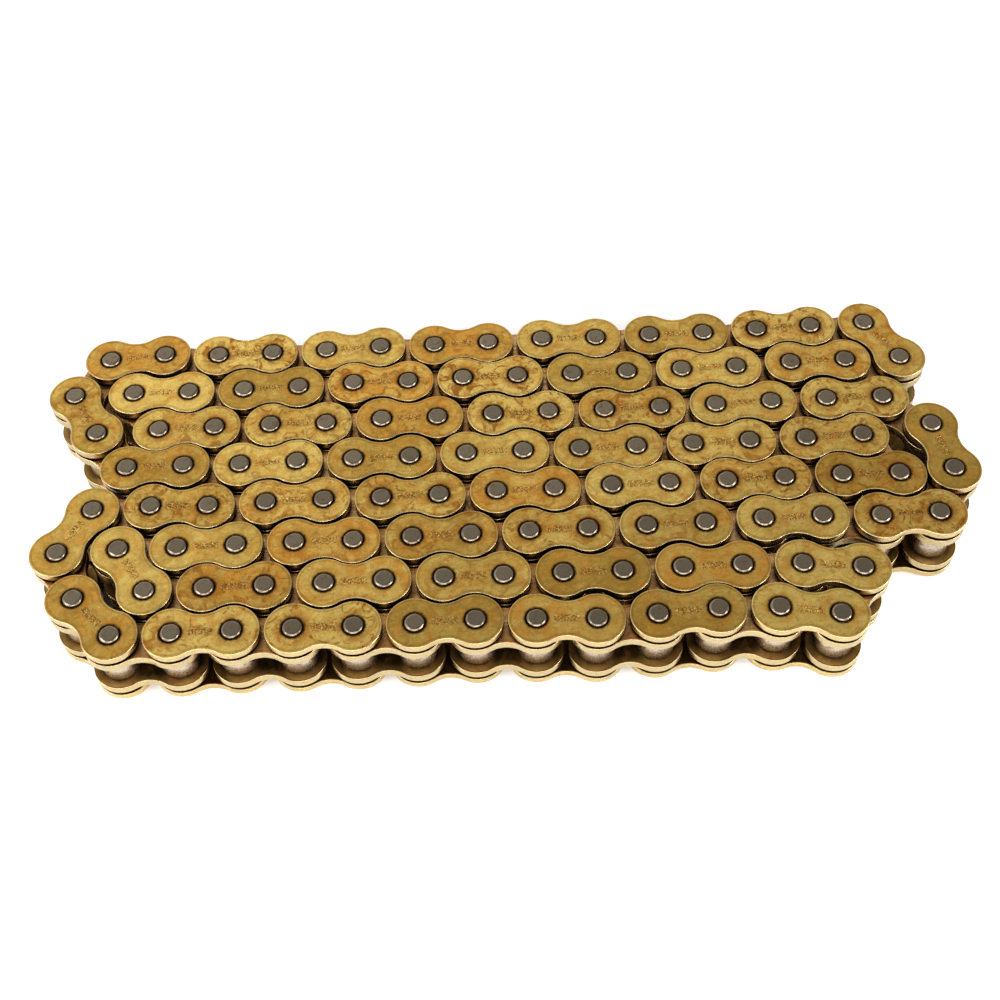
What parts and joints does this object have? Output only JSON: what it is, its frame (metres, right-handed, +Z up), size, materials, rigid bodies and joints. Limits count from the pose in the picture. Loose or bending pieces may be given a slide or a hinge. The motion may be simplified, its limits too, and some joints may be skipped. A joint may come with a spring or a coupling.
{
  "type": "roller chain",
  "caption": "Sealed roller drive chain with gold waisted link plates, steel pins and rollers, closed into a loop and laid flat in tight nested rows.",
  "frame": {"origin": "middle of the chain's footprint, on the plane that the pin ends rest on", "axes": "+Z up along the pins, +X along the rows, +Y towards the back row"},
  "size_m": [0.2622, 0.1134, 0.0227],
  "materials": {
    "outer_plate_gold": "gold-coloured plating over brushed steel, worn orange-brown round the pins",
    "inner_plate_gold": "gold-coloured plating over steel, a little browner than the outer plates",
    "pin_steel": "ground steel, riveted ends",
    "bush_steel": "ground steel",
    "roller_steel": "polished bright steel",
    "ring_rubber": "matt black rubber"
  },
  "bodies": {
    "root": {"outer_plates": "outer_plate_gold", "inner_plates": "inner_plate_gold", "pins": "pin_steel", "bushes": "bush_steel", "rollers": "roller_steel", "o_rings": "ring_rubber"},
    "link_01": {"link_01_inner_plates": "inner_plate_gold", "link_01_bushes": "bush_steel", "link_01_o_rings": "ring_rubber"},
    "roller_01": {"roller_01": "roller_steel"},
    "roller_02": {"roller_02": "roller_steel"},
    "link_02": {"link_02_outer_plates": "outer_plate_gold", "link_02_pins": "pin_steel"},
    "link_03": {"link_03_inner_plates": "inner_plate_gold", "link_03_bushes": "bush_steel", "link_03_o_rings": "ring_rubber"},
    "roller_03": {"roller_03": "roller_steel"},
    "roller_04": {"roller_04": "roller_steel"},
    "link_04": {"link_04_outer_plates": "outer_plate_gold", "link_04_pins": "pin_steel"},
    "link_05": {"link_05_inner_plates": "inner_plate_gold", "link_05_bushes": "bush_steel", "link_05_o_rings": "ring_rubber"},
    "roller_05": {"roller_05": "roller_steel"},
    "roller_06": {"roller_06": "roller_steel"},
    "link_06": {"link_06_outer_plates": "outer_plate_gold", "link_06_pins": "pin_steel"},
    "link_07": {"link_07_inner_plates": "inner_plate_gold", "link_07_bushes": "bush_steel", "link_07_o_rings": "ring_rubber"},
    "roller_07": {"roller_07": "roller_steel"},
    "roller_08": {"roller_08": "roller_steel"},
    "link_08": {"link_08_outer_plates": "outer_plate_gold", "link_08_pins": "pin_steel"},
    "link_09": {"link_09_inner_plates": "inner_plate_gold", "link_09_bushes": "bush_steel", "link_09_o_rings": "ring_rubber"},
    "roller_09": {"roller_09": "roller_steel"},
    "roller_10": {"roller_10": "roller_steel"},
    "link_10": {"link_10_outer_plates": "outer_plate_gold", "link_10_pins": "pin_steel"},
    "link_11": {"link_11_inner_plates": "inner_plate_gold", "link_11_bushes": "bush_steel", "link_11_o_rings": "ring_rubber"},
    "roller_11": {"roller_11": "roller_steel"},
    "roller_12": {"roller_12": "roller_steel"},
    "link_12": {"link_12_outer_plates": "outer_plate_gold", "link_12_pins": "pin_steel"},
    "link_13": {"link_13_inner_plates": "inner_plate_gold", "link_13_bushes": "bush_steel", "link_13_o_rings": "ring_rubber"},
    "roller_13": {"roller_13": "roller_steel"},
    "roller_14": {"roller_14": "roller_steel"},
    "link_14": {"link_14_outer_plates": "outer_plate_gold", "link_14_pins": "pin_steel"},
    "link_15": {"link_15_inner_plates": "inner_plate_gold", "link_15_bushes": "bush_steel", "link_15_o_rings": "ring_rubber"},
    "roller_15": {"roller_15": "roller_steel"},
    "roller_16": {"roller_16": "roller_steel"}
  },
  "joints": [
    {"name": "pivot_01", "type": "hinge", "parent": "root", "child": "link_01", "pos_m": [0.09338, -0.03546, 0.01136], "axis": [0, 0, 1], "range_deg": [0, 60]},
    {"name": "roller_spin_01", "type": "hinge", "parent": "link_01", "child": "roller_01", "pos_m": [0.09338, -0.03546, 0.01136], "axis": [0, 0, 1], "continuous": true},
    {"name": "roller_spin_02", "type": "hinge", "parent": "link_01", "child": "roller_02", "pos_m": [0.08546, -0.04921, 0.01136], "axis": [0, 0, 1], "continuous": true},
    {"name": "pivot_02", "type": "hinge", "parent": "link_01", "child": "link_02", "pos_m": [0.08546, -0.04921, 0.01136], "axis": [0, 0, 1], "range_deg": [0, 40]},
    {"name": "pivot_03", "type": "hinge", "parent": "link_02", "child": "link_03", "pos_m": [0.06978, -0.04668, 0.01136], "axis": [0, 0, 1], "range_deg": [0, 21]},
    {"name": "roller_spin_03", "type": "hinge", "parent": "link_03", "child": "roller_03", "pos_m": [0.06978, -0.04668, 0.01136], "axis": [0, 0, 1], "continuous": true},
    {"name": "roller_spin_04", "type": "hinge", "parent": "link_03", "child": "roller_04", "pos_m": [0.05391, -0.04634, 0.01136], "axis": [0, 0, 1], "continuous": true},
    {"name": "pivot_04", "type": "hinge", "parent": "link_03", "child": "link_04", "pos_m": [0.05391, -0.04634, 0.01136], "axis": [0, 0, 1], "range_deg": [0, 21]},
    {"name": "pivot_05", "type": "hinge", "parent": "link_04", "child": "link_05", "pos_m": [0.03807, -0.04737, 0.01136], "axis": [0, 0, 1], "range_deg": [0, 21]},
    {"name": "roller_spin_05", "type": "hinge", "parent": "link_05", "child": "roller_05", "pos_m": [0.03807, -0.04737, 0.01136], "axis": [0, 0, 1], "continuous": true},
    {"name": "roller_spin_06", "type": "hinge", "parent": "link_05", "child": "roller_06", "pos_m": [0.02221, -0.048, 0.01136], "axis": [0, 0, 1], "continuous": true},
    {"name": "pivot_06", "type": "hinge", "parent": "link_05", "child": "link_06", "pos_m": [0.02221, -0.048, 0.01136], "axis": [0, 0, 1], "range_deg": [0, 21]},
    {"name": "pivot_07", "type": "hinge", "parent": "link_06", "child": "link_07", "pos_m": [0.00635, -0.04735, 0.01136], "axis": [0, 0, 1], "range_deg": [0, 21]},
    {"name": "roller_spin_07", "type": "hinge", "parent": "link_07", "child": "roller_07", "pos_m": [0.00635, -0.04735, 0.01136], "axis": [0, 0, 1], "continuous": true},
    {"name": "roller_spin_08", "type": "hinge", "parent": "link_07", "child": "roller_08", "pos_m": [-0.00952, -0.04689, 0.01136], "axis": [0, 0, 1], "continuous": true},
    {"name": "pivot_08", "type": "hinge", "parent": "link_07", "child": "link_08", "pos_m": [-0.00952, -0.04689, 0.01136], "axis": [0, 0, 1], "range_deg": [0, 21]},
    {"name": "pivot_09", "type": "hinge", "parent": "link_08", "child": "link_09", "pos_m": [-0.02539, -0.04731, 0.01136], "axis": [0, 0, 1], "range_deg": [0, 21]},
    {"name": "roller_spin_09", "type": "hinge", "parent": "link_09", "child": "roller_09", "pos_m": [-0.02539, -0.04731, 0.01136], "axis": [0, 0, 1], "continuous": true},
    {"name": "roller_spin_10", "type": "hinge", "parent": "link_09", "child": "roller_10", "pos_m": [-0.04127, -0.04742, 0.01136], "axis": [0, 0, 1], "continuous": true},
    {"name": "pivot_10", "type": "hinge", "parent": "link_09", "child": "link_10", "pos_m": [-0.04127, -0.04742, 0.01136], "axis": [0, 0, 1], "range_deg": [0, 21]},
    {"name": "pivot_11", "type": "hinge", "parent": "link_10", "child": "link_11", "pos_m": [-0.05714, -0.04741, 0.01136], "axis": [0, 0, 1], "range_deg": [0, 21]},
    {"name": "roller_spin_11", "type": "hinge", "parent": "link_11", "child": "roller_11", "pos_m": [-0.05714, -0.04741, 0.01136], "axis": [0, 0, 1], "continuous": true},
    {"name": "roller_spin_12", "type": "hinge", "parent": "link_11", "child": "roller_12", "pos_m": [-0.07301, -0.04727, 0.01136], "axis": [0, 0, 1], "continuous": true},
    {"name": "pivot_12", "type": "hinge", "parent": "link_11", "child": "link_12", "pos_m": [-0.07301, -0.04727, 0.01136], "axis": [0, 0, 1], "range_deg": [0, 21]},
    {"name": "pivot_13", "type": "hinge", "parent": "link_12", "child": "link_13", "pos_m": [-0.08889, -0.04751, 0.01136], "axis": [0, 0, 1], "range_deg": [0, 21]},
    {"name": "roller_spin_13", "type": "hinge", "parent": "link_13", "child": "roller_13", "pos_m": [-0.08889, -0.04751, 0.01136], "axis": [0, 0, 1], "continuous": true},
    {"name": "roller_spin_14", "type": "hinge", "parent": "link_13", "child": "roller_14", "pos_m": [-0.10476, -0.04739, 0.01136], "axis": [0, 0, 1], "continuous": true},
    {"name": "pivot_14", "type": "hinge", "parent": "link_13", "child": "link_14", "pos_m": [-0.10476, -0.04739, 0.01136], "axis": [0, 0, 1], "range_deg": [0, 21]},
    {"name": "pivot_15", "type": "hinge", "parent": "link_14", "child": "link_15", "pos_m": [-0.11571, -0.0359, 0.01136], "axis": [0, 0, 1], "range_deg": [0, 21]},
    {"name": "roller_spin_15", "type": "hinge", "parent": "link_15", "child": "roller_15", "pos_m": [-0.11571, -0.0359, 0.01136], "axis": [0, 0, 1], "continuous": true},
    {"name": "roller_spin_16", "type": "hinge", "parent": "link_15", "child": "roller_16", "pos_m": [-0.12189, -0.02127, 0.01136], "axis": [0, 0, 1], "continuous": true}
  ]
}
